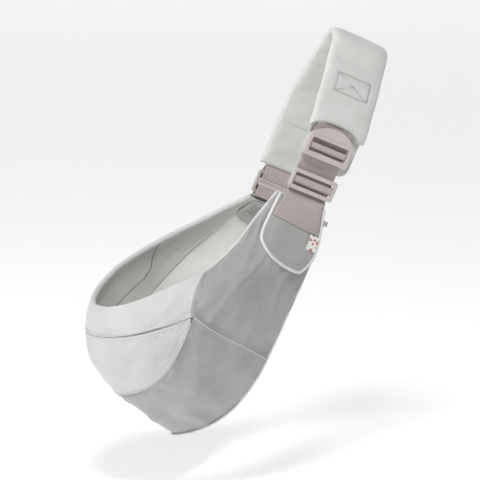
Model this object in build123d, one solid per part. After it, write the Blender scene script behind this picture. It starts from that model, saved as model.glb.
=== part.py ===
"""One-shoulder toddler sling carrier: a padded shoulder strap, adjuster hardware and a sewn seat pouch.

Millimetres, +Z up. The origin is the middle of the shoulder strap's underside, at the top of its arch,
where it lies on the wearer's shoulder. The seat pouch reaches out towards -X and the wearer stands on
the +X side. The front strand, with the adjuster, is on the -Y side and the rear strand on the +Y side.
"""
import math
import os

from build123d import *

# ---- Driving dimensions -------------------------------------------------------------------------
STRAP_TILT = 24.5            # degrees that the whole strap leans, turned about Y
WEBBING_WIDTH = 50.0
WEBBING_THICKNESS = 1.6
FIT = 0.4                    # running clearance of the webbing in its channels

PAD_WIDTH = 74.0
PAD_HALF_THICKNESS = 6.2     # from the middle of the pad to either cover's outer face
COVER_THICKNESS = 1.2
FLANK_ANGLE = 21.87          # degrees between a flank of the arch and the vertical
ARCH_APEX = 37.5             # where the two flanks would cross, above the strap's underside
ARCH_RADIUS = 18.3           # radius of the pad's middle line over the shoulder
FLARE_RADIUS = 60.0
FRONT_Y = 51.0               # distance of the front strand's middle from the XZ plane
REAR_Y = 46.0
PAD_FRONT_END = 104.0        # distances down the strap from the shoulder rest
PAD_NOTCH_RISE = 9.0
FLAP_END = 149.0
CHANNEL_TOP = 82.0             # where the front webbing's channel starts inside the pad
LOOP_TOP = 96.0                # where the adjuster's holding loop starts inside the pad
PAD_REAR_END = 171.5
SEAM_DROP = 117.0
HARDWARE_OFFSET = -4.0       # sideways place of the front webbing on the pad

ADJUSTER_WIDTH = 59.0
ADJUSTER_TOP = 111.0
ADJUSTER_BOTTOM = 138.0
KEEPER_TOP = 156.0
KEEPER_BOTTOM = 181.0
CONNECTOR_TOP = 179.5
CONNECTOR_BOTTOM = 208.0
CONNECTOR_OFFSET = -4.0

SHELL = 1.2                  # thickness of the pouch's outer cloth
PADDING_INNER = -3.2         # depths of the padding's faces below the outer cloth's face
PADDING_OUTER = -2.2
LINING_INNER = -5.4
CENTRE = 8.0                 # rail station at the front of the pouch
LAST = 16.0                  # rail station at the rear tab

# The pouch hangs between two rails. Stations run from the front tab, around the front, to the rear tab.
RIM_RAIL = [
    (-116, -54, -157), (-148, -68, -183), (-178, -82, -211), (-217, -93, -237), (-250, -91, -251),
    (-280, -79, -266), (-303, -59, -279), (-320, -32, -288), (-327, 0, -291),
    (-320, 32, -288), (-302, 59, -279), (-276, 78, -264), (-243, 89, -249), (-205, 89, -231),
    (-168, 76, -211), (-139, 60, -193), (-116, 48, -180),
]
SEAT_RAIL = [
    (-58, -54, -182), (-69, -59, -228), (-86, -66, -262), (-105, -73, -295), (-127, -74, -340),
    (-146, -65, -383), (-172, -48, -423), (-202, -26, -448), (-230, 0, -459),
    (-202, 26, -448), (-172, 48, -423), (-146, 65, -383), (-127, 74, -340), (-105, 72, -295),
    (-87, 64, -264), (-74, 55, -236), (-65, 48, -204),
]
BELLY = 36.0                 # how far the pouch bulges out between its rails
BELLY_SKEW = 0.72            # below 1 the bulge is fullest near the rim
BELLY_DIRECTION = (-0.86, -0.51)

ROWS = 9                     # points along a seam of a pouch panel
COLUMNS = 13


# ---- Pouch surface ------------------------------------------------------------------------------
def rail_point(rail, k):
    """Point at station k of a rail, on a smooth curve through the rail's points."""
    i = min(max(int(math.floor(k)), 0), len(rail) - 2)
    t = k - i
    p1, p2 = Vector(*rail[i]), Vector(*rail[i + 1])
    p0 = Vector(*rail[i - 1]) if i > 0 else p1 * 2 - p2
    p3 = Vector(*rail[i + 2]) if i + 2 < len(rail) else p2 * 2 - p1
    return (p1 * 2 + (p2 - p0) * t + (p0 * 2 - p1 * 5 + p2 * 4 - p3) * t ** 2
            + (p1 * 3 - p0 - p2 * 3 + p3) * t ** 3) * 0.5


def outer_face_point(k, v):
    """Point of the pouch's outer face: v is 0 on the rim and 1 on the seat's inner edge."""
    side = min(max((k - CENTRE) / CENTRE, -1.0), 1.0)
    turn = math.pi / 2 * (1 - abs(side))
    bulge = BELLY * math.sin(turn) ** 0.8 * math.sin(math.pi * min(v, 1.0) ** BELLY_SKEW)
    outwards = Vector(BELLY_DIRECTION[0] * math.sin(turn), math.copysign(math.cos(turn), side),
                      BELLY_DIRECTION[1] * math.sin(turn))
    return rail_point(RIM_RAIL, k) * (1 - v) + rail_point(SEAT_RAIL, k) * v + outwards * bulge


def pouch_point(k, v, depth):
    """Point at a depth from the outer face: negative is towards the child."""
    step = 0.02
    along = outer_face_point(k + step, v) - outer_face_point(k - step, v)
    across = outer_face_point(k, v + step) - outer_face_point(k, max(v - step, 0.0))
    return outer_face_point(k, v) + along.cross(across).normalized() * depth


def mix(a, b, t):
    return a + (b - a) * t


def side_seam(v):
    """Station of the seam between a side panel and the end of the pouch."""
    if v < 0.28:
        return 4.15 - 1.1 * (1 - v / 0.28) ** 1.3
    return 4.12 + 0.25 * ((v - 0.28) / 0.72) ** 2


def band_seam(k):
    """Lower edge of the rim band."""
    return 0.13 + 0.15 * ((CENTRE - min(k, LAST - k)) / 3.85) ** 2


def belly_seam(k):
    """Curved seam between the end panel and the seat."""
    return 0.555 - 0.275 * ((CENTRE - min(k, LAST - k)) / 3.85) ** 2.6


def facing_edge(k):
    """Lower edge of the facing inside the rim."""
    return 0.03 + 0.36 * math.sin(math.pi / 2 * min(1.0, min(k, LAST - k) / 4.2))


def pouch_layer(region, inner, outer, rows=ROWS, columns=COLUMNS):
    """Closed solid between two depths over a four-sided region of the pouch's surface."""
    def grid(depth):
        return [[pouch_point(*region(i / columns, j / rows), depth) for j in range(rows + 1)]
                for i in range(columns + 1)]

    faces = [Face.make_surface_from_array_of_points(grid(depth), tol=0.05, max_deg=3)
             for depth in (outer, inner)]
    near_edges, far_edges = [face.edges() for face in faces]
    for edge in near_edges:
        partner = min(far_edges, key=lambda other: (other @ 0.5 - edge @ 0.5).length)
        faces.append(Face.make_surface_from_curves(edge, partner))
    solid = Solid(Shell(faces))
    return solid if solid.volume > 0 else Solid(solid.wrapped.Reversed())


def side_region(first, v_low=0.0, v_high=1.0):
    """Side panel, from the tab at station first to the side seam."""
    def region(a, b):
        v = mix(v_low, v_high, b)
        seam = side_seam(v) - 0.035
        return (a * seam if first == 0.0 else LAST - a * seam), v
    return region


def between_seams(v_from, v_to, margin=0.02):
    """Region from the front side seam to the rear one, between two curves across the pouch."""
    def region(a, b):
        k_guess = mix(4.15, LAST - 4.15, a)
        v = mix(v_from(k_guess), v_to(k_guess), b)
        seam = side_seam(v) + margin
        return mix(seam, LAST - seam, a), v
    return region


def end_region(a, b):
    """The half-moon end panel, between the band's seam and the belly seam."""
    k = mix(4.45, LAST - 4.45, a)
    return k, mix(band_seam(k) + 0.006, belly_seam(k) - 0.006, b)


def strip(k_from, k_to, v_from, v_to):
    """Region between two stations and two curves across the pouch."""
    def region(a, b):
        k = mix(k_from, k_to, a)
        return k, mix(v_from(k), v_to(k), b)
    return region


def sewn_lengths(v_from, v_to, inner, outer, rows=8):
    """The same strip all round the pouch, cut in three lengths as it is sewn."""
    cut = 0.01
    lengths = [(0.0, 4.0 - cut, 8), (4.0 + cut, LAST - 4.0 - cut, 16), (LAST - 4.0 + cut, LAST, 8)]
    return Compound([pouch_layer(strip(start, end, v_from, v_to), inner, outer, rows, columns)
                     for start, end, columns in lengths])


def tab_region(first, depth_stations, v_low, v_high):
    """A tab that hangs down from the pouch's top edge, round at its bottom corners."""
    def region(a, b):
        low = v_low + 0.10 * b
        reach = depth_stations * (0.74 + 0.26 * math.sin(math.pi * (0.08 + 0.80 * a ** 1.2)))
        k = 0.03 + b * reach
        return (k if first == 0.0 else LAST - k), mix(low, v_high, a)
    return region


def pouch_parts():
    return {
        "front_side_panel": pouch_layer(side_region(0.0), -SHELL, 0.0),
        "rear_side_panel": pouch_layer(side_region(LAST), -SHELL, 0.0),
        "rim_band": pouch_layer(between_seams(lambda k: 0.0, lambda k: band_seam(k) - 0.005), -SHELL, 0.0,
                                columns=16),
        "end_panel": pouch_layer(end_region, -SHELL, 0.0, columns=14),
        "seat_panel": pouch_layer(between_seams(lambda k: belly_seam(k) + 0.006, lambda k: 1.0), -SHELL, 0.0,
                                  columns=16),
        "rim_padding": pouch_layer(strip(3.6, LAST - 3.6, lambda k: 0.05, lambda k: band_seam(k) - 0.02),
                                   PADDING_INNER, PADDING_OUTER, columns=14),
        "seat_padding": pouch_layer(strip(4.6, LAST - 4.6, lambda k: band_seam(k) + 0.02, lambda k: 0.97),
                                    PADDING_INNER, PADDING_OUTER, columns=14),
        "front_side_padding": pouch_layer(strip(0.3, 3.4, lambda k: 0.09, lambda k: 0.93),
                                          PADDING_INNER, PADDING_OUTER),
        "rear_side_padding": pouch_layer(strip(LAST - 3.4, LAST - 0.3, lambda k: 0.09, lambda k: 0.93),
                                         PADDING_INNER, PADDING_OUTER),
        "rim_elastic": pouch_layer(strip(5.5, LAST - 5.5, lambda k: 0.012, lambda k: 0.040), -3.2, -2.0,
                                   rows=3, columns=16),
        "rim_facing": sewn_lengths(lambda k: 0.0, lambda k: facing_edge(k) - 0.005, LINING_INNER, -4.4),
        "pouch_lining": sewn_lengths(facing_edge, lambda k: 0.995, LINING_INNER, -4.4),
        "seat_edge_binding": sewn_lengths(lambda k: 1.009, lambda k: 1.026, LINING_INNER, 0.0, rows=2),
        "front_tab": pouch_layer(tab_region(0.0, 1.9, 0.06, 0.985), 0.4, 2.2),
        "front_patch": pouch_layer(strip(0.0, 0.72, lambda k: 0.15, lambda k: 0.93), 2.5, 4.1,
                                   rows=6, columns=6),
        "rear_tab_inner": pouch_layer(tab_region(LAST, 1.15, 0.12, 0.88), -7.8, -5.8),
        "rear_tab_outer": pouch_layer(tab_region(LAST, 1.15, 0.12, 0.88), 0.4, 2.0),
    }


# ---- Strap frame --------------------------------------------------------------------------------
def leaned(shape, offset=0.0):
    """Turn a shape drawn upright (X across the strap, Z up) to the strap's lean."""
    return Rot(0, STRAP_TILT, 0) * (Pos(offset, 0, 0) * shape)


def flank_y(drop):
    """Half the gap between the flanks' middle lines at a drop below the shoulder rest."""
    return (ARCH_APEX + drop) * math.tan(math.radians(FLANK_ANGLE))


def arch_line(offset, front_drop, rear_drop):
    """Line parallel to the pad's middle line, offset outwards, from the front end to the rear end."""
    angle = math.radians(FLANK_ANGLE)
    apex = ARCH_APEX + offset / math.sin(angle)
    front, rear = FRONT_Y + offset, REAR_Y + offset
    points = [
        (-front, -front_drop), (-front, apex - front / math.tan(angle)), (0, apex),
        (rear, apex - rear / math.tan(angle)), (rear, -rear_drop),
    ]
    radii = [FLARE_RADIUS - offset, ARCH_RADIUS + offset, FLARE_RADIUS - offset]
    return FilletPolyline(*[(y, z) for y, z in points], radius=radii)


def arch_layer(low, high, width, front_drop, rear_drop):
    """Layer of the padded strap between two offsets from its middle line."""
    inner = arch_line(low, front_drop, rear_drop)
    outer = arch_line(high, front_drop, rear_drop)
    outline = Wire([*inner.edges(), Line(inner @ 1, outer @ 1), *outer.edges(), Line(outer @ 0, inner @ 0)])
    return extrude(Plane.YZ * Face(outline), width / 2, both=True)


def drop_box(width, y_low, y_high, top, bottom, offset=0.0):
    """Upright box across the strap, between two drops below the shoulder rest."""
    box = Box(width, y_high - y_low, bottom - top)
    return Pos(offset, (y_low + y_high) / 2, -(top + bottom) / 2) * box


def ribbon(points, radius, width=WEBBING_WIDTH, thickness=WEBBING_THICKNESS):
    """Flat webbing that follows points (y, drop), bent round each corner."""
    line = FilletPolyline(*[(y, -drop) for y, drop in points], radius=radius)
    left = line.offset_2d(thickness / 2, side=Side.LEFT, closed=False)
    right = line.offset_2d(thickness / 2, side=Side.RIGHT, closed=False)
    ends = [right @ 0, right @ 1]
    if (left @ 0 - ends[0]).length > (left @ 0 - ends[1]).length:
        ends.reverse()
    outline = Wire([*left.edges(), Line(left @ 0, ends[0]), *right.edges(), Line(left @ 1, ends[1])])
    return extrude(Plane.YZ * Face(outline), width / 2, both=True)


def arched_notch():
    """The round-topped notch in the pad's front end, over the adjuster's tab."""
    half = ADJUSTER_WIDTH / 2 + 1.5
    top = -PAD_FRONT_END + PAD_NOTCH_RISE
    arch = Wire([ThreePointArc((-half, -PAD_FRONT_END - 1), (0, top), (half, -PAD_FRONT_END - 1)),
                 Line((half, -PAD_FRONT_END - 1), (-half, -PAD_FRONT_END - 1))])
    notch = extrude(Plane.XZ * Face(arch), FRONT_Y + 20, both=True)
    return Pos(HARDWARE_OFFSET, 0, 0) * notch & Pos(0, -FRONT_Y - 8.5, -100) * Box(200, 11, 60)


def strap_parts():
    half = PAD_HALF_THICKNESS
    core = half - COVER_THICKNESS
    notch = arched_notch()
    channel = WEBBING_THICKNESS / 2 + FIT
    front_channel = drop_box(WEBBING_WIDTH + 2, -FRONT_Y - channel, -FRONT_Y + channel, CHANNEL_TOP, 200,
                             HARDWARE_OFFSET)
    loop_slot = drop_box(WEBBING_WIDTH + 2, -FRONT_Y - 3.9, -FRONT_Y - channel, LOOP_TOP - 1, 200,
                         HARDWARE_OFFSET)
    rear_channel = drop_box(WEBBING_WIDTH + 2, REAR_Y - 2.2, REAR_Y + 2.2, 104, 200, CONNECTOR_OFFSET)
    foam = arch_layer(-core, core, PAD_WIDTH - 3, PAD_FRONT_END, PAD_REAR_END)
    stitches = drop_box(44, -0.25, 0.25, -11, 11) - drop_box(42.4, -1, 1, -10.2, 10.2)
    for sign in (1, -1):
        stitches += Rot(0, sign * math.degrees(math.atan2(22, 44)), 0) * Box(46, 0.5, 0.8)
    stitch_drop = 47.0
    stitch_y = -flank_y(stitch_drop) - (half + 0.4) / math.cos(math.radians(FLANK_ANGLE))
    stitches = Pos(0, stitch_y, -stitch_drop) * (Rot(-FLANK_ANGLE, 0, 0) * stitches)
    return {
        "strap_outer_cover": arch_layer(core, half, PAD_WIDTH, PAD_FRONT_END, PAD_REAR_END) - notch,
        "strap_foam": foam - notch - front_channel - loop_slot - rear_channel,
        "strap_inner_cover": arch_layer(-half, -core, PAD_WIDTH, FLAP_END, PAD_REAR_END),
        "strap_box_stitching": stitches,
        "strap_cross_seam": drop_box(PAD_WIDTH - 2, REAR_Y - half - 0.8, REAR_Y - half - 0.1,
                                     SEAM_DROP, SEAM_DROP + 1.2),
    }


# ---- Hardware -----------------------------------------------------------------------------------
def bar_frame(width, top, bottom, y_low, y_high, bars, rail, corner):
    """Flat plastic frame with rounded corners and a window between each pair of bars."""
    frame = drop_box(width, y_low, y_high, top, bottom)
    frame = fillet(frame.edges().filter_by(Axis.Y), corner)
    for (_, upper), (lower, _) in zip(bars, bars[1:]):
        window = drop_box(width - 2 * rail, y_low - 1, y_high + 1, upper, lower)
        frame -= fillet(window.edges().filter_by(Axis.Y), 1.2)
    faces = frame.faces().filter_by(Axis.Y).sort_by(Axis.Y)
    return fillet(faces[0].edges() + faces[-1].edges(), 0.8)


def adjuster_frame():
    """Ladder-lock adjuster: two bars, a recessed centre bar and an arched tab that lifts it."""
    outer, inner = -FRONT_Y - 10.5, -FRONT_Y - 5.0
    frame = bar_frame(ADJUSTER_WIDTH, ADJUSTER_TOP, ADJUSTER_BOTTOM, outer, inner,
                      [(ADJUSTER_TOP, 115.0), (131.5, ADJUSTER_BOTTOM)], 5.0, 3.0)
    frame -= drop_box(ADJUSTER_WIDTH - 10, inner - 1.5, inner + 1, ADJUSTER_TOP - 1, 116.0)
    frame += drop_box(ADJUSTER_WIDTH - 8, outer + 2.5, inner - 0.5, 121.5, 124.5)
    half = ADJUSTER_WIDTH / 2 - 0.5
    base, crown = -ADJUSTER_TOP - 0.5, -ADJUSTER_TOP + 13
    arch = Wire([ThreePointArc((-half, base), (0, crown), (half, base)), Line((half, base), (-half, base))])
    tab = Pos(0, outer + 1.9, 0) * extrude(Plane.XZ * Face(arch), 1.3, both=True)
    return frame + tab


def keeper_frame():
    """Rounded three-bar buckle on the front webbing."""
    outer, inner = -FRONT_Y - 8.5, -FRONT_Y - 3.5
    frame = bar_frame(ADJUSTER_WIDTH, KEEPER_TOP, KEEPER_BOTTOM, outer, inner,
                      [(KEEPER_TOP, KEEPER_TOP + 5), (KEEPER_BOTTOM - 5, KEEPER_BOTTOM)], 3.8, 4.0)
    middle = (KEEPER_TOP + KEEPER_BOTTOM) / 2
    return frame + drop_box(ADJUSTER_WIDTH - 8, inner - 2.5, inner, middle - 1.5, middle + 1.5)


def connector_frame():
    """Three-bar connector between the rear webbing and the rear tab."""
    bars = [(CONNECTOR_TOP, CONNECTOR_TOP + 4), (191.5, 196.0), (CONNECTOR_BOTTOM - 4, CONNECTOR_BOTTOM)]
    return bar_frame(ADJUSTER_WIDTH, CONNECTOR_TOP, CONNECTOR_BOTTOM, REAR_Y - 2, REAR_Y + 2, bars, 4.0, 3.5)


def webbing_parts():
    middle = (KEEPER_TOP + KEEPER_BOTTOM) / 2
    front = -FRONT_Y
    front_run = [
        (front, CHANNEL_TOP + 2), (front, middle - 5.6), (front - 7.2, middle - 2.4), (front - 7.2, middle + 2.4),
        (front - 0.6, middle + 5.6), (front - 0.6, KEEPER_BOTTOM + 1.0), (front - 6.3, 188.6),
    ]
    adjuster_loop = [(front - 3.0, LOOP_TOP), (front - 3.0, 127.6), (front - 9.1, 127.6), (front - 9.1, 121.0)]
    spread, close = 4.3, 0.95
    rear_run = [
        (REAR_Y - close, 110), (REAR_Y - close, 172), (REAR_Y - spread, 178.5), (REAR_Y - spread, 190.0),
        (REAR_Y + spread, 190.0), (REAR_Y + spread, 178.5), (REAR_Y + close, 172), (REAR_Y + close, 150),
    ]
    rear_loop = [(REAR_Y - 5.0, 211.5), (REAR_Y - 5.0, 197.6), (REAR_Y + 4.0, 197.6), (REAR_Y + 4.0, 211.5)]
    return {
        "front_webbing": leaned(ribbon(front_run, [2.2, 1.6, 1.6, 2.2, 2.0]), HARDWARE_OFFSET),
        "adjuster_loop": leaned(ribbon(adjuster_loop, [2.6, 2.4], width=47.0, thickness=1.2),
                                HARDWARE_OFFSET),
        "rear_webbing": leaned(ribbon(rear_run, [4, 4, 3.0, 3.0, 4, 4], width=48.0), CONNECTOR_OFFSET),
        "rear_lower_loop": leaned(ribbon(rear_loop, [3.0, 3.0], width=48.0), CONNECTOR_OFFSET),
    }


def labels():
    """Care label sewn in beside the webbing patch, and a small loop tag at the tab's edge."""
    label = pouch_layer(strip(0.74, 1.16, lambda k: 0.80, lambda k: 0.97), 2.8, 3.6, rows=3, columns=4)
    tag = drop_box(5.0, -FRONT_Y - 6.6, -FRONT_Y - 5.2, 203, 209, 31.5)
    return {"care_label": label, "loop_tag": leaned(tag)}


def build():
    parts = pouch_parts()
    parts.update({name: leaned(shape) for name, shape in strap_parts().items()})
    parts.update(webbing_parts())
    parts["adjuster_frame"] = leaned(adjuster_frame(), HARDWARE_OFFSET)
    parts["keeper_frame"] = leaned(keeper_frame(), HARDWARE_OFFSET)
    parts["connector_frame"] = leaned(connector_frame(), CONNECTOR_OFFSET)
    parts.update(labels())
    return parts


os.makedirs("parts", exist_ok=True)
for name, shape in build().items():
    shape.label = name
    export_step(shape, f"parts/{name}.step")
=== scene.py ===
"""Looks of a one-shoulder toddler sling carrier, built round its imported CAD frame.

The cloth, pads, stitching and label are modelled here. The plastic hardware and the webbing loops
are the CAD pieces with better materials. Lengths are in millimetres until they reach a mesh.
"""
import math

import bpy
import numpy as np
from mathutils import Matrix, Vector


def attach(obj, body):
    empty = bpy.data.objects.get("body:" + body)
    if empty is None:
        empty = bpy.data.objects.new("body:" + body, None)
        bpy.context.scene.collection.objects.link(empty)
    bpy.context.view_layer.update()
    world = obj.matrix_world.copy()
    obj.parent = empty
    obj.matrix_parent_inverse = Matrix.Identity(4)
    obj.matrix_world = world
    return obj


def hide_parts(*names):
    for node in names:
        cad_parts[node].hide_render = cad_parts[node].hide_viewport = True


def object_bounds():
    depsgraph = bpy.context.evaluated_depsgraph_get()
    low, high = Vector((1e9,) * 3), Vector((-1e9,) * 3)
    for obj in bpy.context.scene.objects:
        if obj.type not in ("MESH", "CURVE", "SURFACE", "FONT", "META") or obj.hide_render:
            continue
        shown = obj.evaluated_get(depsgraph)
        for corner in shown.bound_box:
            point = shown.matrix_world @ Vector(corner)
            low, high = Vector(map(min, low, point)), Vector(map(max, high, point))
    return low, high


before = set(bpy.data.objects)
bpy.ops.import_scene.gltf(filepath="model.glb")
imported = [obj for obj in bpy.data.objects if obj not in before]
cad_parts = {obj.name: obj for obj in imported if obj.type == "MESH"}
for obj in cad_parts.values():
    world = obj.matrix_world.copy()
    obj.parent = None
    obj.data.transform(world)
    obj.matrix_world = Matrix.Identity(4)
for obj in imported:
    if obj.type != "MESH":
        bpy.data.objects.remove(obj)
cad_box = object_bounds()

MM = 0.001

# ---- Design values shared with the CAD model, in millimetres and degrees --------------------------
STRAP_TILT = 24.5
PAD_WIDTH = 74.0
PAD_HALF = 6.2
FLANK_ANGLE = 21.87
ARCH_APEX = 37.5
ARCH_RADIUS = 18.3
FLARE_RADIUS = 60.0
FRONT_Y = 51.0
REAR_Y = 46.0
PAD_FRONT_END = 104.0
NOTCH_RISE = 9.0
NOTCH_HALF = 31.0
FLAP_END = 149.0
PAD_REAR_END = 171.5
SEAM_DROP = 117.0
BOX_DROP = 47.0              # middle of the crossed box of stitching on the front strand
BOX_HALF_WIDTH = 22.0
BOX_HALF_HEIGHT = 11.5
BOX_SHIFT = 1.0              # across the strap, from its middle to the box's
BOX_DIAGONAL = 10.2          # millimetres to a diagonal of the box for each unit off it
HARDWARE_OFFSET = -4.0
CENTRE = 8.0
LAST = 16.0
INNER = -5.4
RIM_RAIL = [
    (-116, -54, -157), (-148, -68, -183), (-178, -82, -211), (-217, -93, -237), (-250, -91, -251),
    (-280, -79, -266), (-303, -59, -279), (-320, -32, -288), (-327, 0, -291),
    (-320, 32, -288), (-302, 59, -279), (-276, 78, -264), (-243, 89, -249), (-205, 89, -231),
    (-168, 76, -211), (-139, 60, -193), (-116, 48, -180),
]
SEAT_RAIL = [
    (-58, -54, -182), (-69, -59, -228), (-86, -66, -262), (-105, -73, -295), (-127, -74, -340),
    (-146, -65, -383), (-172, -48, -423), (-202, -26, -448), (-230, 0, -459),
    (-202, 26, -448), (-172, 48, -423), (-146, 65, -383), (-127, 74, -340), (-105, 72, -295),
    (-87, 64, -264), (-74, 55, -236), (-65, 48, -204),
]
BELLY = 36.0
BELLY_SKEW = 0.72
BELLY_DIRECTION = (-0.86, -0.51)
SEAM_GAP = 0.001             # half the space left between two panels, in the surface's own units
SEAM_GUESS = 4.15            # station close to the side seam, to look the other seams up at
CLOTH_THICKNESS = 1.1
LINING_THICKNESS = 0.7
CLEAR_OF_SEAM = 3            # times SEAM_GAP left at the side seams


# ---- Pouch surface, evaluated on whole arrays of stations k and places v across ------------------
def rail(points, k):
    p = np.array(points, float)
    p = np.vstack([2 * p[0] - p[1], p, 2 * p[-1] - p[-2]])
    i = np.clip(np.floor(k).astype(int), 0, len(points) - 2)
    t = (k - i)[..., None]
    p0, p1, p2, p3 = p[i], p[i + 1], p[i + 2], p[i + 3]
    return 0.5 * (2 * p1 + (p2 - p0) * t + (2 * p0 - 5 * p1 + 4 * p2 - p3) * t ** 2
                  + (3 * p1 - p0 - 3 * p2 + p3) * t ** 3)


def outer_face(k, v):
    side = np.clip((k - CENTRE) / CENTRE, -1.0, 1.0)
    turn = math.pi / 2 * (1 - np.abs(side))
    across = np.clip(v, 0.0, 1.0)
    bulge = BELLY * np.sin(turn) ** 0.8 * np.sin(math.pi * across ** BELLY_SKEW)
    outwards = np.stack([BELLY_DIRECTION[0] * np.sin(turn), np.copysign(np.cos(turn), side),
                         BELLY_DIRECTION[1] * np.sin(turn)], -1)
    v = v[..., None]
    return rail(RIM_RAIL, k) * (1 - v) + rail(SEAT_RAIL, k) * v + outwards * bulge[..., None]


def unit(v):
    return v / np.maximum(np.linalg.norm(v, axis=-1, keepdims=True), 1e-9)


def pouch_normal(k, v):
    step = 0.02
    along = outer_face(k + step, v) - outer_face(k - step, v)
    across = outer_face(k, v + step) - outer_face(k, np.maximum(v - step, 0.0))
    return unit(np.cross(along, across))


def pouch(k, v, depth):
    k, v = np.broadcast_arrays(np.asarray(k, float), np.asarray(v, float))
    return outer_face(k, v) + pouch_normal(k, v) * np.asarray(depth)[..., None]


def side_seam(v):
    upper = 4.15 - 1.1 * np.maximum(1 - v / 0.28, 0) ** 1.3
    return np.where(v < 0.28, upper, 4.12 + 0.25 * (np.maximum(v - 0.28, 0) / 0.72) ** 2)


def from_centre(k):
    return (CENTRE - np.minimum(k, LAST - k)) / 3.85


def band_seam(k):
    return 0.13 + 0.15 * from_centre(k) ** 2


def belly_seam(k):
    return 0.555 - 0.275 * np.maximum(from_centre(k), 0) ** 2.6


def facing_edge(k):
    return 0.03 + 0.36 * np.sin(math.pi / 2 * np.minimum(1.0, np.minimum(k, LAST - k) / 4.2))


# ---- Small helpers ------------------------------------------------------------------------------
def lattice(ix, iy, seed):
    """Repeatable random numbers, 0 to 1, on whole-number points."""
    h = np.sin(ix * 127.1 + iy * 311.7 + seed * 74.7) * 43758.5453
    return h - np.floor(h)


def soft_noise(x, y, seed=0):
    """Smooth noise from -1 to 1."""
    ix, iy = np.floor(x), np.floor(y)
    fx, fy = x - ix, y - iy
    fx, fy = fx * fx * (3 - 2 * fx), fy * fy * (3 - 2 * fy)
    low = lattice(ix, iy, seed) * (1 - fx) + lattice(ix + 1, iy, seed) * fx
    high = lattice(ix, iy + 1, seed) * (1 - fx) + lattice(ix + 1, iy + 1, seed) * fx
    return 2 * (low * (1 - fy) + high * fy) - 1


def hill(x, centre, width):
    return np.exp(-((x - centre) / width) ** 2)


def spaced(count, crowding=0.10):
    """Values from 0 to 1, closer together near both ends."""
    t = np.linspace(0, 1, count)
    return t - crowding * np.sin(2 * math.pi * t)


def make_object(name, points, faces):
    mesh = bpy.data.meshes.new(name)
    mesh.from_pydata([tuple(p * MM) for p in np.asarray(points, float)], [], faces)
    mesh.validate()
    mesh.update()
    mesh.shade_smooth()
    obj = bpy.data.objects.new(name, mesh)
    bpy.context.scene.collection.objects.link(obj)
    return obj


def quads(rows, columns, start=0, wrap=False, flip=False):
    faces = []
    for i in range(rows - 1):
        for j in range(columns if wrap else columns - 1):
            j2 = (j + 1) % columns
            face = [start + i * columns + j, start + (i + 1) * columns + j,
                    start + (i + 1) * columns + j2, start + i * columns + j2]
            faces.append(face[::-1] if flip else face)
    return faces


def closed_layer(name, outer, inner):
    """Closed sheet of cloth between two grids of points of the same size."""
    rows, columns = outer.shape[:2]
    points = np.vstack([outer.reshape(-1, 3), inner.reshape(-1, 3)])
    half = rows * columns
    faces = quads(rows, columns) + quads(rows, columns, half, flip=True)
    rim = ([i * columns for i in range(rows)] + [(rows - 1) * columns + j for j in range(1, columns)]
           + [i * columns + columns - 1 for i in range(rows - 2, -1, -1)]
           + [j for j in range(columns - 2, 0, -1)])
    for a, b in zip(rim, rim[1:] + rim[:1]):
        faces.append([b, a, a + half, b + half])
    return make_object(name, points, faces)


def tube(name, centres, radius, sides=10):
    """Round cord of thread or piping along a line of points."""
    centres = np.asarray(centres, float)
    tangent = unit(np.gradient(centres, axis=0))
    first = unit(np.cross(tangent, np.array([0.31, 0.17, 0.93])))
    second = np.cross(tangent, first)
    angle = np.linspace(0, 2 * math.pi, sides, endpoint=False)
    ring = (first[:, None] * np.cos(angle)[None, :, None] + second[:, None] * np.sin(angle)[None, :, None])
    points = (centres[:, None] + ring * radius).reshape(-1, 3)
    count = len(centres)
    faces = quads(count, sides, wrap=True)
    faces += [list(range(sides)), [(count - 1) * sides + j for j in range(sides)][::-1]]
    return make_object(name, points, faces)


def stitches(name, lines, pitch=3.2, length=2.3, radius=0.33):
    """Rows of thread stitches: each line is (points, outward normals)."""
    points, faces = [], []
    for line, normals in lines:
        line, normals = np.asarray(line, float), np.asarray(normals, float)
        run = np.concatenate([[0], np.cumsum(np.linalg.norm(np.diff(line, axis=0), axis=1))])
        count = int(run[-1] // pitch)
        for i in range(count):
            middle = (i + 0.5) * run[-1] / count
            ends = [middle - length / 2, middle - length / 4, middle + length / 4, middle + length / 2]
            heights = [-radius, 0.45 * radius, 0.45 * radius, -radius]
            start = len(points)
            for place, height in zip(ends, heights):
                centre = np.array([np.interp(place, run, line[:, axis]) for axis in range(3)])
                up = unit(np.array([np.interp(place, run, normals[:, axis]) for axis in range(3)]))
                after, before = (np.array([np.interp(place + step, run, line[:, axis]) for axis in range(3)])
                                 for step in (0.3, -0.3))
                ahead = after - before
                sideways = unit(np.cross(up, ahead))
                for turn in range(6):
                    a = math.pi / 3 * turn
                    rise, spread = height + radius * math.sin(a), radius * math.cos(a)
                    points.append(centre + up * rise + sideways * spread)
            faces += quads(4, 6, start, wrap=True)
            faces += [list(range(start, start + 6)), list(range(start + 18, start + 24))[::-1]]
    return make_object(name, points, faces)


def finish_piece(obj, body, slot_name, material, *nodes):
    obj.data.materials.clear()
    obj.data.materials.append(material)
    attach(obj, body)
    if nodes:
        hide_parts(*nodes)
    return obj


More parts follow.
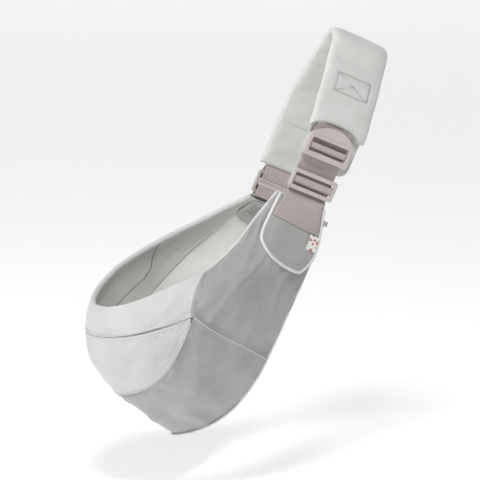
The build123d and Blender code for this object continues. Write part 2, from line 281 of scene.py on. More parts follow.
# ---- Materials ----------------------------------------------------------------------------------
class Nodes:
    """Short way to add shader nodes to one material."""

    def __init__(self, name, roughness, sheen=0.0, specular=0.3):
        self.material = bpy.data.materials.new(name)
        self.material.use_nodes = True
        self.tree = self.material.node_tree
        self.shader = self.tree.nodes["Principled BSDF"]
        self.shader.inputs["Roughness"].default_value = roughness
        self.shader.inputs["Sheen Weight"].default_value = sheen
        self.shader.inputs["Sheen Roughness"].default_value = 0.5
        self.shader.inputs["Specular IOR Level"].default_value = specular
        self.place = self.add("ShaderNodeTexCoord").outputs["Object"]

    def add(self, kind, **values):
        node = self.tree.nodes.new(kind)
        for key, value in values.items():
            if hasattr(node, key):
                setattr(node, key, value)
            else:
                node.inputs[key.replace("_", " ")].default_value = value
        return node

    def link(self, source, target):
        self.tree.links.new(source, target)

    def noise(self, scale, detail=3.0):
        node = self.add("ShaderNodeTexNoise", Scale=scale, Detail=detail)
        self.link(self.place, node.inputs["Vector"])
        return node.outputs["Fac"]

    def wave(self, scale, direction, rotation=(0, 0, 0)):
        mapping = self.add("ShaderNodeMapping")
        mapping.inputs["Rotation"].default_value = rotation
        self.link(self.place, mapping.inputs["Vector"])
        node = self.add("ShaderNodeTexWave", bands_direction=direction, wave_profile="SIN", Scale=scale)
        self.link(mapping.outputs["Vector"], node.inputs["Vector"])
        return node.outputs["Fac"]

    def math(self, operation, a, b):
        node = self.add("ShaderNodeMath", operation=operation)
        for socket, value in zip(node.inputs, (a, b)):
            if isinstance(value, (int, float)):
                socket.default_value = value
            else:
                self.link(value, socket)
        return node.outputs[0]

    def colour(self, factor, *stops):
        ramp = self.add("ShaderNodeValToRGB")
        for element, (position, tone) in zip(ramp.color_ramp.elements, stops):
            element.position = position
            element.color = (*tone, 1)
        self.link(factor, ramp.inputs["Fac"])
        self.link(ramp.outputs["Color"], self.shader.inputs["Base Color"])

    def bump(self, height, strength, distance):
        node = self.add("ShaderNodeBump", Strength=strength, Distance=distance)
        self.link(height, node.inputs["Height"])
        self.link(node.outputs["Normal"], self.shader.inputs["Normal"])


def cloth(name, dark, light, weave_scale, bump, roughness=0.92, sheen=0.25):
    """Woven or knitted cloth: crossed threads, slubs and a faint mottle."""
    m = Nodes(name, roughness, sheen, 0.2)
    threads = m.math("MAXIMUM", m.wave(weave_scale, "X", rotation=(0, 0.4, 0.3)),
                     m.wave(weave_scale * 1.1, "Z", rotation=(0.2, 0.4, 0)))
    slub = m.noise(900, 2)
    mottle = m.noise(28, 5)
    tone = m.math("ADD", m.math("MULTIPLY", mottle, 0.75), m.math("MULTIPLY", slub, 0.25))
    m.colour(tone, (0.30, dark), (0.70, light))
    m.bump(m.math("ADD", m.math("MULTIPLY", threads, 0.6), slub), bump, 0.0006)
    return m.material


def webbing_cloth(name, dark, light):
    """Flat woven webbing: fine ribs across the strap and a herringbone of warp threads."""
    tilt = math.radians(STRAP_TILT)
    m = Nodes(name, 0.78, 0.2, 0.3)
    ribs = m.wave(190, "X", rotation=(0, -tilt, 0))
    picks = m.wave(330, "Z", rotation=(0, -tilt, 0))
    speck = m.noise(1200, 2)
    woven = m.math("ADD", m.math("MULTIPLY", ribs, 0.6), m.math("MULTIPLY", picks, 0.4))
    m.colour(m.math("ADD", m.math("MULTIPLY", woven, 0.5), m.math("MULTIPLY", speck, 0.5)),
             (0.25, dark), (0.75, light))
    m.bump(woven, 0.55, 0.0005)
    return m.material


def plastic(name, dark, light):
    m = Nodes(name, 0.42, 0.0, 0.5)
    m.colour(m.noise(45, 4), (0.3, dark), (0.7, light))
    m.bump(m.noise(1400, 2), 0.12, 0.0003)
    m.shader.inputs["Coat Weight"].default_value = 0.08
    return m.material


def label_cloth(name):
    """Satin label with red blotches that say nothing."""
    m = Nodes(name, 0.5, 0.1, 0.4)
    blotches = m.math("GREATER_THAN", m.noise(260, 0), 0.62)
    m.colour(blotches, (0.45, (0.80, 0.80, 0.78)), (0.55, (0.52, 0.10, 0.08)))
    m.bump(m.wave(500, "Z"), 0.2, 0.0003)
    return m.material


STRAP_CLOTH = cloth("strap_knit", (0.55, 0.55, 0.535), (0.63, 0.63, 0.615), 420, 0.45)
BAND_CLOTH = cloth("band_cotton", (0.50, 0.50, 0.495), (0.56, 0.56, 0.55), 520, 0.20)
# painted shade: the side and seat panel cloth is darkened to stand for the shade on these panels, which face
# away from the key lamp
SHADED_SIDE_CLOTH = cloth("side_twill_painted_shade", (0.32, 0.315, 0.31), (0.42, 0.415, 0.405), 420, 0.5)
EDGE_CLOTH = cloth("rim_fold", (0.53, 0.53, 0.52), (0.59, 0.59, 0.58), 520, 0.20)
# painted light: the lining cloth is lightened to stand for the light falling into the pouch
LIT_LINING_CLOTH = cloth("lining_cotton_painted_light", (0.64, 0.64, 0.625), (0.72, 0.72, 0.705), 600, 0.20)
# painted shade: the facing cloth is darkened to stand for the shade inside the rim
SHADED_FACING_CLOTH = cloth("facing_cotton_painted_shade", (0.45, 0.45, 0.44), (0.52, 0.52, 0.505), 520, 0.20)
# painted shade: the tab cloth is darkened to stand for the shade on the tabs
SHADED_TAB_CLOTH = cloth("tab_knit_painted_shade", (0.34, 0.34, 0.33), (0.42, 0.42, 0.41), 430, 0.45)
PIPING_CLOTH = cloth("tab_piping", (0.62, 0.62, 0.61), (0.68, 0.68, 0.67), 430, 0.20)
# partly painted shade: the thread is darker than the strap cloth to stand for the shade in the stitching's
# dents; the rest is the thread's own tone
THREAD_WITH_DENT_SHADE = cloth("tonal_thread_with_dent_shade", (0.40, 0.40, 0.39), (0.47, 0.47, 0.46), 900, 0.3)
# painted shade: dark cloth for the cords sunk in the band and upper side seam grooves, standing for their
# shade; also the thread of the rear tab's box stitching
SEAM_SHADE_AND_THREAD = cloth("seam_shade_and_thread", (0.34, 0.34, 0.33), (0.40, 0.40, 0.39), 520, 0.2)
DARK_THREAD = cloth("seam_thread", (0.20, 0.19, 0.185), (0.27, 0.26, 0.25), 900, 0.3)
WEBBING = webbing_cloth("taupe_webbing", (0.36, 0.31, 0.30), (0.48, 0.42, 0.405))
PLASTIC = plastic("beige_acetal", (0.46, 0.405, 0.39), (0.51, 0.455, 0.44))
LABEL = label_cloth("label_satin")


# ---- Pouch --------------------------------------------------------------------------------------
def wrinkles(k, v):
    """Soft folds of the pouch's cloth: broad swells, slanting creases and a fine crumple."""
    off_centre = k - CENTRE
    near = CENTRE - np.sqrt(off_centre ** 2 + 0.3) + 0.19 * np.tanh(off_centre / 1.5)
    drift = 0.30 * soft_noise(near * 0.7, v * 2.4, 3)
    slant = near * 1.0 + v * 2.6
    broad = soft_noise(near * 0.55 + 2, v * 2.6 + drift, 7)
    creases = 1 - 2 * np.abs(soft_noise(slant * 0.85, (v - near * 0.10 + drift * 0.4) * 6.5, 11))
    ripples = soft_noise(slant * 1.7, (v - near * 0.16) * 11.0, 17)
    crumple = soft_noise(near * 6.0, v * 26.0, 23)
    strength = 0.4 + 0.6 * np.clip(near / 1.8, 0, 1)
    return strength * (2.0 * broad + 1.6 * creases + 1.3 * ripples + 0.30 * crumple) - 1.0


def grid_of(region, rows, columns):
    a, b = np.meshgrid(spaced(rows), spaced(columns), indexing="ij")
    return region(a, b)


def edge_distance(points, edges):
    """Distance in millimetres from the named edges of a grid: a0, a1, b0 and b1."""
    def run(axis):
        step = np.linalg.norm(np.diff(points, axis=axis), axis=-1)
        pad = [(0, 0), (0, 0)]
        pad[axis] = (1, 0)
        return np.pad(np.cumsum(step, axis=axis), pad)
    along, across = run(0), run(1)
    choice = {"a0": along, "a1": along[-1:] - along, "b0": across, "b1": across[:, -1:] - across}
    return np.min([choice[edge] for edge in edges], axis=0)


def seam_shape(distance):
    """Height of cloth near a sewn seam: a narrow groove with a thin ridge beside it."""
    return -0.55 * np.exp(-distance / 0.6) + 0.45 * hill(distance, 2.0, 1.2)


def panel(name, region, edges, size, node, material, folds=1.0):
    """One sewn panel of the shell: creased cloth, with a groove and a ridge along its sewn edges."""
    k, v = grid_of(region, *size)
    base = pouch(k, v, np.zeros_like(k))
    distance = edge_distance(base, edges)
    calm = 1 - 0.9 * np.exp(-distance / 9.0)
    height = seam_shape(distance) + wrinkles(k, v) * calm * folds
    pucker = hill(distance, 6.0, 6.0) * soft_noise(k * 8.0, v * 50.0, 31) * 0.55
    height = height + pucker
    # Deep folds are flattened out so that they don't reach the lining.
    height = np.where(height < -1.2, -1.2 - 1.1 * np.tanh((-1.2 - height) / 1.1), height)
    outer = pouch(k, v, height)
    inner = pouch(k, v, height - CLOTH_THICKNESS)
    obj = closed_layer(name, outer, inner)
    finish_piece(obj, "pouch", "pouch_cloth", material, node)


def mirrored(region):
    def other(a, b):
        k, v = region(1 - a, b)
        return LAST - k, v
    return other


def side_panel(a, b):
    return a * (side_seam(b) - SEAM_GAP * CLEAR_OF_SEAM), b


def rim_band(a, b):
    guess = SEAM_GUESS + a * (LAST - 2 * SEAM_GUESS)
    v = b * (band_seam(guess) - SEAM_GAP)
    seam = side_seam(v) + SEAM_GAP * CLEAR_OF_SEAM
    return seam + a * (LAST - 2 * seam), v


def end_panel(a, b):
    k = 4.22 + a * (LAST - 8.44)
    low, high = band_seam(k) + SEAM_GAP, belly_seam(k) - SEAM_GAP
    return k, low + b * (high - low)


def seat_panel(a, b):
    guess = SEAM_GUESS + a * (LAST - 2 * SEAM_GUESS)
    low = belly_seam(guess) + SEAM_GAP
    v = low + b * (1 - low)
    seam = side_seam(v) + SEAM_GAP * CLEAR_OF_SEAM
    return seam + a * (LAST - 2 * seam), v


def topstitch_line(k, v, height=0.35):
    points = pouch(k, v, np.full_like(k, height))
    return points, pouch_normal(k, v)


def make_pouch_shell():
    panel("front_side_cloth", side_panel, ("a1",), (130, 130), "front_side_panel", SHADED_SIDE_CLOTH)
    panel("rear_side_cloth", mirrored(side_panel), ("a0",), (110, 110), "rear_side_panel", SHADED_SIDE_CLOTH)
    panel("rim_band_cloth", rim_band, ("a0", "a1", "b1"), (240, 50), "rim_band", BAND_CLOTH, 0.55)
    panel("end_panel_cloth", end_panel, ("b0", "b1"), (210, 80), "end_panel", BAND_CLOTH, 0.75)
    panel("seat_panel_cloth", seat_panel, ("a0", "a1", "b0"), (240, 120), "seat_panel", SHADED_SIDE_CLOTH)


def make_rims():
    """The rolled rim, gathered by its elastic at the front, and the bound inner edge of the seat."""
    k = np.linspace(0.0, LAST, 700)
    turn = np.linspace(0, math.pi, 13)
    gather = np.exp(-((k - CENTRE) / 1.5) ** 4)[:, None]
    ripple = gather * (np.sin(k * 34.0)[:, None] * 0.55 + soft_noise(k * 16.0, k * 0.0, 5)[:, None] * 0.8)
    for name, place, sign, rise in (("rim_edge_cloth", 0.0, -1, 3.0), ("seat_edge_cloth", 1.0, 1, 2.6)):
        base = outer_face(k, np.full_like(k, place))
        inside = outer_face(k, np.full_like(k, abs(place - 0.03)))
        away = unit(base - inside)
        normal = pouch_normal(k, np.full_like(k, max(place, 0.02)))
        depth = INNER / 2 + (-INNER / 2 + 0.4) * np.cos(turn)
        lift = rise * np.sin(turn)
        shift = ripple if place == 0.0 else 0.25 * soft_noise(k * 6.0, k * 0, 9)[:, None]
        outer = (base[:, None] + normal[:, None] * depth[None, :, None]
                 + away[:, None] * (lift[None, :] * (1 + 0.25 * shift) - 1.2)[..., None])
        core = (base[:, None] + normal[:, None] * (depth * 0.72 + INNER / 2 * 0.28)[None, :, None]
                + away[:, None] * (lift[None, :] * 0.6 - 2.4)[..., None])
        obj = closed_layer(name, outer[:, ::-1] if sign > 0 else outer, core[:, ::-1] if sign > 0 else core)
        node = "seat_edge_binding" if sign > 0 else "rim_elastic"
        finish_piece(obj, "pouch", "pouch_cloth", EDGE_CLOTH, node)


FACING_LIFT = -0.8           # the facing lies on the lining
WADDING_DEPTH = -3.6         # between the shell and the lining


def inner_depth(k, v, lift):
    """Depth of the pouch's inner face: lightly folded, and gathered by the elastic at its front end."""
    calm = (1 - np.exp(-np.clip(v, 0, 1) * 30)) * (1 - np.exp(-np.clip(1 - v, 0, 1) * 30))
    gather = np.exp(-((k - CENTRE) / 2.1) ** 4) * np.clip(1 - v / 0.28, 0, 1) ** 0.7
    pleat = np.sin(k * 40.0 + 1.3 * soft_noise(k * 5.0, v * 6.0, 13))
    pleat = pleat * (0.6 + 0.4 * soft_noise(k * 9.0, k * 0, 19))
    return INNER + lift + 0.30 * wrinkles(k, v + 3.1) * calm + 1.5 * gather * pleat


def make_inside():
    k = np.linspace(0.0, LAST, 640)
    kk, bb = np.meshgrid(k, spaced(56, 0.06), indexing="ij")
    edge = facing_edge(kk)
    for name, low, high, node, material, lift in (
            ("rim_facing_cloth", 0.0, edge, "rim_facing", SHADED_FACING_CLOTH, FACING_LIFT),
            ("pouch_lining_cloth", edge - 0.02, 1.0, "pouch_lining", LIT_LINING_CLOTH, 0.0)):
        v = low + bb * (high - low)
        depth = inner_depth(kk, v, lift)
        if node == "rim_facing":
            depth = depth - 0.5 * hill((1 - bb) * 60, 1.5, 2.0)
        face = pouch(kk, v, depth)
        obj = closed_layer(name, pouch(kk, v, depth + LINING_THICKNESS), face)
        finish_piece(obj, "pouch", "lining_cloth", material, node)
    seams = []
    for rear in (True, False):
        t = np.linspace(0, 1, 60)
        k_line = np.interp(t, [0, 0.45, 0.6, 1.0], [12.6, 12.1, 11.75, 10.3])
        v_line = np.interp(t, [0, 0.45, 0.6, 1.0], [0.01, 0.22, 0.255, 0.23])
        k_line = k_line if rear else LAST - k_line
        seams.append((k_line, v_line))
    for index, (k_line, v_line) in enumerate(seams):
        line = pouch(k_line, v_line, inner_depth(k_line, v_line, FACING_LIFT) - 0.1)
        cord = tube(f"inner_seam_{index}", line, 0.5, 8)
        finish_piece(cord, "pouch", "thread", DARK_THREAD)
    grid = np.meshgrid(np.linspace(4.8, 11.2, 90), np.linspace(0.30, 0.80, 30), indexing="ij")
    depth = np.full((90, 30), WADDING_DEPTH)
    wadding = closed_layer("pouch_wadding", pouch(*grid, depth + 0.2), pouch(*grid, depth - 0.3))
    finish_piece(wadding, "pouch", "foam", LIT_LINING_CLOTH, "rim_padding", "seat_padding",
                 "front_side_padding", "rear_side_padding")


def make_seam_cords():
    """Cords along the seams: lapped ridges on the lower seams, and on the upper ones dark cords sunk level in
    the grooves as painted shade.
    """
    k = np.linspace(4.3, LAST - 4.3, 260)
    low_v, high_v = np.linspace(0.29, 0.985, 120), np.linspace(0.01, 0.28, 60)
    cords = [("belly", k, belly_seam(k), 0.15, 0.85, EDGE_CLOTH),
             # painted shade: the band seam and the upper side seams get dark cords level with their grooves,
             # standing for the shade there
             ("band", k, band_seam(k), -0.85, 0.8, SEAM_SHADE_AND_THREAD)]
    for side in ("front", "rear"):
        for place, v, height, radius, material in (("lower", low_v, 0.1, 0.8, EDGE_CLOTH),
                                                   ("upper", high_v, -0.8, 0.8, SEAM_SHADE_AND_THREAD)):
            seam = side_seam(v) if side == "front" else LAST - side_seam(v)
            cords.append((f"{side}_{place}", seam, v, height, radius, material))
    for name, seam_k, seam_v, height, radius, material in cords:
        cord = tube(f"{name}_seam_cord", pouch(seam_k, seam_v, np.full(len(seam_v), height)), radius, 10)
        finish_piece(cord, "pouch", "pouch_cloth", material)


def pouch_stitching():
    lines = []
    v = np.linspace(0.02, 0.98, 80)
    for sign in (0, 1):
        k = side_seam(v) - 0.09
        lines.append(topstitch_line(k if not sign else LAST - k, v))
    k = np.linspace(4.6, LAST - 4.6, 160)
    lines.append(topstitch_line(k, belly_seam(k) + 0.022))
    lines.append(topstitch_line(k, band_seam(k) - 0.018))
    obj = stitches("pouch_topstitching", lines)
    finish_piece(obj, "pouch", "thread", THREAD_WITH_DENT_SHADE)


# ---- Tabs, patch and label -----------------------------------------------------------------------
# Stations down each tab, and the places of its rim-side and seat-side edges at those stations.
FRONT_TAB = (
    [0.03, 0.55, 1.25, 1.45, 1.60, 1.75, 1.84, 1.90],
    [0.06, 0.11, 0.16, 0.20, 0.30, 0.45, 0.62, 0.80],
    [0.985, 0.985, 0.985, 0.965, 0.945, 0.915, 0.890, 0.86],
)
REAR_TAB = (
    [0.03, 0.45, 0.85, 1.00, 1.10, 1.15],
    [0.13, 0.15, 0.17, 0.20, 0.27, 0.38],
    [0.88, 0.88, 0.87, 0.84, 0.77, 0.66],
)


TAB_OUTSIDE = 0.7            # depth of a tab that lies on the shell
TAB_INSIDE = -6.6            # depth of the one that lies on the lining
TAB_THICKNESS = 1.4
PIPING_RADIUS = 1.9


def tab_outline(sides, inset=0.0, points=120):
    """Stations and places along a tab's edge, from its top rim corner round to its top seat corner."""
    reach, low, high = (np.array(side) for side in sides)
    k = np.interp(np.linspace(0, 1, points), np.linspace(0, 1, len(reach)), reach)
    down = np.stack([k, np.interp(k, reach, low)], -1)
    up = np.stack([k, np.interp(k, reach, high)], -1)[::-1]
    outline = np.vstack([down, up])
    smooth = outline.copy()
    for _ in range(24):
        smooth[1:-1] = (smooth[:-2] + 2 * smooth[1:-1] + smooth[2:]) / 4
    middle = np.array([smooth[:, 0].min(), 0.5])
    return middle + (smooth - middle) * np.array([1 - inset, 1 - 1.25 * inset])


def make_tab(name, node, rear, base_depth, outward, piped):
    sides = REAR_TAB if rear else FRONT_TAB
    outline = tab_outline(sides)
    count = len(outline) // 2
    low, high = outline[:count], outline[count:][::-1]
    across = spaced(64, 0.08)[None, :, None]
    grid = low[:, None] * (1 - across) + high[:, None] * across
    k, v = (LAST - grid[..., 0] if rear else grid[..., 0]), grid[..., 1]
    flat = pouch(k, v, np.zeros_like(k))
    edge_k = LAST - outline[:, 0] if rear else outline[:, 0]
    edge = pouch(edge_k, outline[:, 1], np.zeros(len(outline)))
    distance = np.min(np.linalg.norm(flat[:, :, None] - edge[None, None], axis=-1), axis=-1)
    swell = 0.9 * (1 - np.exp(-distance / 2.5)) - 0.6 * hill(distance, 8.0, 1.1)
    ripple = 0.7 * soft_noise(k * 2.6, v * 7.0, 41) * (1 - np.exp(-distance / 9))
    top = base_depth + outward * (TAB_THICKNESS + swell + ripple)
    faces = (pouch(k, v, top), pouch(k, v, np.full_like(top, base_depth)))
    obj = closed_layer(name, *(faces if outward > 0 else faces[::-1]))
    finish_piece(obj, "pouch", "pouch_cloth", SHADED_TAB_CLOTH, node)
    if piped:
        edge_line = pouch(edge_k, outline[:, 1], np.full(len(outline), base_depth + 1.7))
        piping = tube(name + "_piping", edge_line, PIPING_RADIUS, 14)
        finish_piece(piping, "pouch", "pouch_cloth", PIPING_CLOTH)
        inner = tab_outline(sides, 0.17)
        line = (pouch(inner[:, 0], inner[:, 1], np.full(len(inner), base_depth + 2.1)),
                pouch_normal(inner[:, 0], inner[:, 1]))
        finish_piece(stitches(name + "_stitching", [line]), "pouch", "thread", THREAD_WITH_DENT_SHADE)


def patch_place(a, b):
    """Station and place of a point across (a) and down (b) the webbing patch."""
    return b * 0.74 - 0.03, 0.15 + a * 0.78


def make_patch():
    """Webbing end sewn to the front tab, with its turned-under lower edge."""
    a, b = np.meshgrid(np.linspace(0, 1, 40), spaced(30, 0.06), indexing="ij")
    k, v = patch_place(a, b)
    rim = np.minimum(np.minimum(a, 1 - a) * 50, (1 - b) * 31)
    crown = 0.45 * (1 - np.exp(-rim / 1.2)) - 0.25 * hill(rim, 2.6, 0.6)
    obj = closed_layer("front_patch_webbing", pouch(k, v, 4.6 + crown), pouch(k, v, np.full_like(k, 3.0)))
    finish_piece(obj, "pouch", "webbing", WEBBING, "front_patch")
    lines = []
    side = np.linspace(0.05, 0.9, 30)
    paths = ((np.full(30, 0.05), side), (np.full(30, 0.95), side),
             (np.linspace(0.05, 0.95, 40), np.full(40, 0.92)))
    for path_a, path_b in paths:
        kk, vv = patch_place(path_a, path_b)
        lines.append((pouch(kk, vv, np.full_like(kk, 4.95)), pouch_normal(kk, vv)))
    finish_piece(stitches("front_patch_stitching", lines, 2.8, 2.0, 0.28), "pouch", "thread", WEBBING)


def leaned_point(across, y, drop):
    """Global point from one given across the strap, from front to back and down the strap."""
    tilt = math.radians(STRAP_TILT)
    return np.stack([math.cos(tilt) * across - math.sin(tilt) * drop, y,
                     -math.sin(tilt) * across - math.cos(tilt) * drop], -1)


LOOP_TAG_TIP = 32.4          # how far across the strap the tag reaches
LOOP_TAG_Y = -57.0


def make_loop_tag():
    """Small folded webbing loop sewn in behind the patch's edge."""
    turn = np.linspace(-math.pi / 2, math.pi / 2, 13)
    run = np.linspace(20.0, LOOP_TAG_TIP, 14)
    drop = np.linspace(203.0, 209.0, 7)
    layers = []
    for radius in (1.0, 0.3):
        across = np.concatenate([run, LOOP_TAG_TIP + radius * np.cos(turn), run[::-1]])
        y = LOOP_TAG_Y + np.concatenate([np.full(14, -radius), radius * np.sin(turn), np.full(14, radius)])
        layers.append(leaned_point(*np.broadcast_arrays(across[:, None], y[:, None], drop[None])))
    finish_piece(closed_layer("loop_tag_webbing", *layers), "pouch", "webbing", WEBBING, "loop_tag")


def make_rear_box_stitching():
    corners = [(0.22, 0.12), (0.78, 0.12), (0.78, 0.62), (0.22, 0.62), (0.22, 0.12), (0.78, 0.62),
               (0.78, 0.12), (0.22, 0.62)]
    for name, depth, sign in (("rear_tab_box_stitching", -9.6, -1), ("rear_tab_outer_stitching", 3.4, 1)):
        lines = []
        for (a0, b0), (a1, b1) in zip(corners, corners[1:]):
            a, b = np.linspace(a0, a1, 20), np.linspace(b0, b1, 20)
            k, v = LAST - 0.05 - b * 1.05, 0.13 + a * 0.74
            lines.append((pouch(k, v, np.full_like(k, depth)), pouch_normal(k, v) * sign))
        finish_piece(stitches(name, lines, 2.8, 2.1, 0.45), "pouch", "thread", SEAM_SHADE_AND_THREAD)


def make_label():
    a, b = np.meshgrid(np.linspace(0, 1, 24), np.linspace(0, 1, 24), indexing="ij")
    k, v = 0.74 + b * 0.42, 0.80 + a * 0.17
    curl = 0.9 * (1 - a) ** 2 + 0.4 * np.sin(b * 5.0) * (1 - a)
    obj = closed_layer("care_label_satin", pouch(k, v, 3.7 + curl), pouch(k, v, 3.4 + curl))
    finish_piece(obj, "care_label", "label_satin", LABEL, "care_label")


# ---- Shoulder strap ------------------------------------------------------------------------------
def arch_path():
    """Dense points (y, z) of the pad's middle line, from far below the front end to the rear end."""
    angle = math.radians(FLANK_ANGLE)
    points = []
    for sign, y_end in ((-1, FRONT_Y), (1, REAR_Y)):
        half = []
        centre_z = ARCH_APEX - ARCH_RADIUS / math.sin(angle)
        for turn in np.linspace(0, math.pi / 2 - angle, 24):
            half.append((ARCH_RADIUS * math.sin(turn), centre_z + ARCH_RADIUS * math.cos(turn)))
        corner_z = ARCH_APEX - y_end / math.tan(angle)
        reach = FLARE_RADIUS * math.tan(angle / 2)
        for turn in np.linspace(angle, 0, 24):
            half.append((y_end - FLARE_RADIUS + FLARE_RADIUS * math.cos(turn),
                         corner_z - reach + FLARE_RADIUS * math.sin(turn)))
        half.append((y_end, -200.0))
        half = [(sign * y, z) for y, z in half]
        points = half[::-1] + points if sign < 0 else points + half[1:]
    return np.array(points)


PATH = arch_path()
RUN = np.concatenate([[0], np.cumsum(np.linalg.norm(np.diff(PATH, axis=0), axis=1))])
TOP_RUN = RUN[np.argmax(PATH[:, 1])]


def run_at_drop(drop, front):
    """Run along the middle line where it reaches a drop below the shoulder rest."""
    half = RUN < TOP_RUN if front else RUN > TOP_RUN
    z, r = PATH[half, 1], RUN[half]
    order = np.argsort(z)
    return np.interp(-np.asarray(drop, float), z[order], r[order])


def strap_point(run, across, offset):
    """Point of the leaned strap: across it, and offset outwards from its middle line."""
    y, z = np.interp(run, RUN, PATH[:, 0]), np.interp(run, RUN, PATH[:, 1])
    step = 1.5
    ty = np.interp(run + step, RUN, PATH[:, 0]) - np.interp(run - step, RUN, PATH[:, 0])
    tz = np.interp(run + step, RUN, PATH[:, 1]) - np.interp(run - step, RUN, PATH[:, 1])
    size = np.hypot(ty, tz)
    y, z = y - tz / size * offset, z + ty / size * offset
    tilt = math.radians(STRAP_TILT)
    return np.stack([math.cos(tilt) * across + math.sin(tilt) * z, y,
                     -math.sin(tilt) * across + math.cos(tilt) * z], -1)


def pad_section(turn):
    """Rounded, crowned cross-section of the pad: (across, offset) at an angle round it."""
    c, s = np.cos(turn), np.sin(turn)
    across = np.sign(c) * np.abs(c) ** 0.34 * (PAD_WIDTH / 2)
    offset = np.sign(s) * np.abs(s) ** 0.62 * PAD_HALF
    return across, offset


def box_stitch_dent(run, across):
    """Depth of the dent along the crossed box of stitching on the front strand."""
    u = across / BOX_HALF_WIDTH
    w = (run - run_at_drop(BOX_DROP, True)) / BOX_HALF_HEIGHT
    inside = (np.abs(u) < 1.06) & (np.abs(w) < 1.1)
    frame_lines = np.minimum(np.abs(np.abs(u) - 1) * BOX_HALF_WIDTH, np.abs(np.abs(w) - 1) * BOX_HALF_HEIGHT)
    cross = np.minimum(np.abs(u - w), np.abs(u + w)) * BOX_DIAGONAL
    line = np.where(inside, np.minimum(frame_lines, cross), 9)
    return 1.0 * np.exp(-(line / 1.3) ** 2) * inside + 0.2 * inside


def make_pad():
    rows, columns = 300, 120
    t = np.linspace(0, 1, rows)
    turn = np.linspace(0, 2 * math.pi, columns, endpoint=False)
    across, offset = pad_section(turn)
    front = run_at_drop(PAD_FRONT_END, True)
    notch = np.where(offset > -0.4 * PAD_HALF,
                     NOTCH_RISE * np.clip(1 - ((across - HARDWARE_OFFSET) / NOTCH_HALF) ** 2, 0, 1) ** 0.6, 0)
    front_end = front + notch
    rear_end = run_at_drop(PAD_REAR_END, False)
    run = front_end[None, :] * (1 - t[:, None]) + rear_end * t[:, None]
    wide = np.broadcast_to(across, run.shape)
    thick = np.broadcast_to(offset, run.shape).copy()
    ends = np.minimum(run - front_end[None, :], rear_end - run)
    taper = np.sqrt(np.clip(1 - np.clip(1 - ends / 5.0, 0, 1) ** 2, 0.02, 1))
    seam = hill(run, run_at_drop(SEAM_DROP, False), 1.3) * 1.6
    swell = 1.2 * soft_noise(run / 30.0, wide / 26.0, 2)
    swell = swell + 0.6 * soft_noise(run / 11.0 + wide / 30.0, wide / 22.0, 4)
    swell = swell * (1 - hill(run, run_at_drop(BOX_DROP, True), 26.0))
    edge_calm = np.clip(1 - (np.abs(wide) / (PAD_WIDTH / 2)) ** 6, 0, 1)
    outer_side = thick > 0
    height = np.abs(thick) * taper - seam * edge_calm + swell * edge_calm * taper
    height = np.where(outer_side, height - box_stitch_dent(run, wide - BOX_SHIFT), height)
    piping = 0.8 * hill(np.abs(offset), 0, 1.6)[None, :]
    wide = wide * (1 + piping / 60.0) + 0.5 * soft_noise(run / 26.0, 0 * run, 6)
    points = strap_point(run, wide, np.sign(thick) * np.maximum(height, 0.05))
    faces = quads(rows, columns, wrap=True)
    faces += [list(range(columns)), [(rows - 1) * columns + j for j in range(columns)][::-1]]
    obj = make_object("shoulder_pad", points.reshape(-1, 3), faces)
    finish_piece(obj, "shoulder_strap", "strap_cloth", STRAP_CLOTH,
                 "strap_outer_cover", "strap_foam", "strap_box_stitching", "strap_cross_seam")


def strap_line(run, across, offset):
    points = strap_point(run, across, offset)
    normals = strap_point(run, across, offset + 1.0) - points
    return points, normals


def make_strap_stitching():
    middle = run_at_drop(BOX_DROP, True)
    corners = [(-1, -1), (1, -1), (1, 1), (-1, 1), (-1, -1), (1, 1), (1, -1), (-1, 1)]
    lines = []
    for (u0, w0), (u1, w1) in zip(corners, corners[1:]):
        u, w = np.linspace(u0, u1, 40), np.linspace(w0, w1, 40)
        lines.append(strap_line(middle + w * BOX_HALF_HEIGHT, BOX_SHIFT + u * BOX_HALF_WIDTH,
                                np.full(40, PAD_HALF - 0.62)))
    # painted shade: the darker thread paints the shade in the dents of the crossed box stitching
    finish_piece(stitches("strap_box_thread", lines, 2.9, 2.1, 0.42), "shoulder_strap", "thread", THREAD_WITH_DENT_SHADE)
    run = np.full(60, float(run_at_drop(SEAM_DROP - 4, False)))
    points, normals = strap_line(run, np.linspace(-34, 34, 60), np.full(60, -PAD_HALF + 0.35))
    finish_piece(stitches("strap_seam_thread", [(points, -normals)], 3.0, 2.2, 0.3),
                 "shoulder_strap", "thread", THREAD_WITH_DENT_SHADE)


FLAP_TOP = 92.0
FLAP_LEFT = -31.0
FLAP_WIDTH = 66.0


def rounded(a, b, corner):
    """Pull the square corners of a unit patch in to round ones at its b = 1 end."""
    end = np.clip((corner - a) / corner, 0, 1) + np.clip((a - 1 + corner) / corner, 0, 1)
    return b * (1 - (1 - np.sqrt(np.clip(1 - end ** 2, 0, 1))) * corner * 1.1)


def make_flap():
    """Thin backing flap that lies behind the hardware."""
    a, b = np.meshgrid(spaced(50, 0.06), np.linspace(0, 1, 60), indexing="ij")
    cut = rounded(a, b, 0.18)
    drop = FLAP_TOP + cut * (FLAP_END - FLAP_TOP)
    run = run_at_drop(drop, True)
    across = FLAP_LEFT + a * FLAP_WIDTH
    distance = np.minimum(np.minimum(a, 1 - a) * 70.0, (1 - b) * 57.0)
    swell = 0.8 * (1 - np.exp(-distance / 3.0)) - 0.4 * hill(distance, 4.0, 0.8)
    bend = 0.8 * soft_noise(across / 20.0, drop / 18.0, 8)
    outer = strap_point(run, across, -PAD_HALF + 1.4 + swell + bend)
    inner = strap_point(run, across, -PAD_HALF - 0.2 - 0.4 * swell + bend)
    obj = closed_layer("backing_flap", inner, outer)
    finish_piece(obj, "shoulder_strap", "strap_cloth", STRAP_CLOTH, "strap_inner_cover")


# ---- CAD pieces that stay ------------------------------------------------------------------------
def repaint(node, material):
    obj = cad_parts[node]
    obj.data.materials.clear()
    obj.data.materials.append(material)


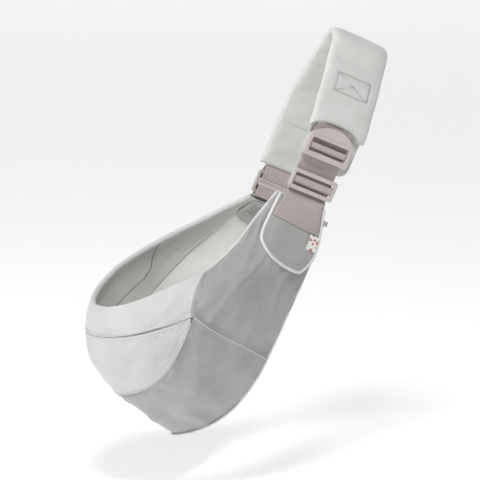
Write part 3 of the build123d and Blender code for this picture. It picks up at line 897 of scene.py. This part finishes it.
def dress_cad_pieces():
    for node in ("adjuster_frame", "keeper_frame", "connector_frame"):
        repaint(node, PLASTIC)
    for node in ("front_webbing", "rear_webbing", "rear_lower_loop", "adjuster_loop"):
        repaint(node, WEBBING)


# ---- Studio --------------------------------------------------------------------------------------
CAMERA_AZIMUTH = math.radians(-18.0)
CAMERA_ELEVATION = math.radians(12.5)
CAMERA_DISTANCE = 4.0
FRAME_WIDTH = 0.5712         # metres across the picture at the object
AIM_RIGHT, AIM_UP = -0.138, -0.2297      # metres from the origin to the picture's middle
FLOOR_GAP = 0.06             # metres from the lowest point to the floor
SENSOR_WIDTH = 36.0
FLOOR_GLOW = 0.36
WORLD_GLOW = 0.26
# Name, place in metres, size in metres and power in watts of each area light.
LAMPS = (("key", (-2.7, -0.55, 0.45), 1.1, 31), ("top", (-0.5, -0.85, 1.3), 0.45, 21))


def make_studio():
    a, e = CAMERA_AZIMUTH, CAMERA_ELEVATION
    right = Vector((math.cos(a), math.sin(a), 0))
    back = Vector((math.sin(a) * math.cos(e), -math.cos(a) * math.cos(e), math.sin(e)))
    up = back.cross(right)
    aim = right * AIM_RIGHT + up * AIM_UP
    data = bpy.data.cameras.new("camera")
    data.sensor_width = SENSOR_WIDTH
    data.lens = SENSOR_WIDTH * CAMERA_DISTANCE / FRAME_WIDTH
    camera = bpy.data.objects.new("camera", data)
    camera.location = aim + back * CAMERA_DISTANCE
    camera.rotation_euler = back.to_track_quat("Z", "Y").to_euler()
    bpy.context.scene.collection.objects.link(camera)
    bpy.context.scene.camera = camera

    floor_z = cad_box[0][2] - FLOOR_GAP
    bpy.ops.mesh.primitive_plane_add(size=40, location=(0, 0, floor_z))
    floor = bpy.context.active_object
    floor.name = "floor"
    paint = Nodes("pale_floor", 0.9, 0.0, 0.1)
    paint.shader.inputs["Base Color"].default_value = (0.93, 0.93, 0.93, 1)
    paint.shader.inputs["Emission Color"].default_value = (1, 1, 1, 1)
    paint.shader.inputs["Emission Strength"].default_value = FLOOR_GLOW
    floor.data.materials.append(paint.material)

    bpy.ops.mesh.primitive_plane_add(size=14, location=aim - back * 6.0, rotation=camera.rotation_euler)
    backdrop = bpy.context.active_object
    backdrop.name = "backdrop"
    glow = Nodes("backdrop_glow", 0.9, 0.0, 0.0)
    glow.shader.inputs["Base Color"].default_value = (0.9, 0.9, 0.9, 1)
    glow.shader.inputs["Emission Color"].default_value = (1, 1, 1, 1)
    glow.shader.inputs["Emission Strength"].default_value = 1.0
    backdrop.data.materials.append(glow.material)

    world = bpy.data.worlds.new("studio")
    world.use_nodes = True
    world.node_tree.nodes["Background"].inputs["Color"].default_value = (1, 1, 1, 1)
    world.node_tree.nodes["Background"].inputs["Strength"].default_value = WORLD_GLOW
    bpy.context.scene.world = world
    for name, place, size, power in LAMPS:
        light = bpy.data.lights.new(name, "AREA")
        light.size = size
        light.energy = power
        lamp = bpy.data.objects.new(name, light)
        lamp.location = place
        lamp.rotation_euler = (Vector(place) - aim).to_track_quat("Z", "Y").to_euler()
        bpy.context.scene.collection.objects.link(lamp)
    bpy.context.scene.view_settings.view_transform = "Standard"


make_studio()
make_pouch_shell()
make_rims()
make_inside()
make_seam_cords()
pouch_stitching()
make_tab("front_tab_cloth", "front_tab", False, TAB_OUTSIDE, 1, True)
make_tab("rear_tab_cloth", "rear_tab_inner", True, TAB_INSIDE, -1, False)
make_tab("rear_tab_outer_cloth", "rear_tab_outer", True, TAB_OUTSIDE, 1, False)
make_patch()
make_loop_tag()
make_rear_box_stitching()
make_label()
make_pad()
make_strap_stitching()
make_flap()
dress_cad_pieces()
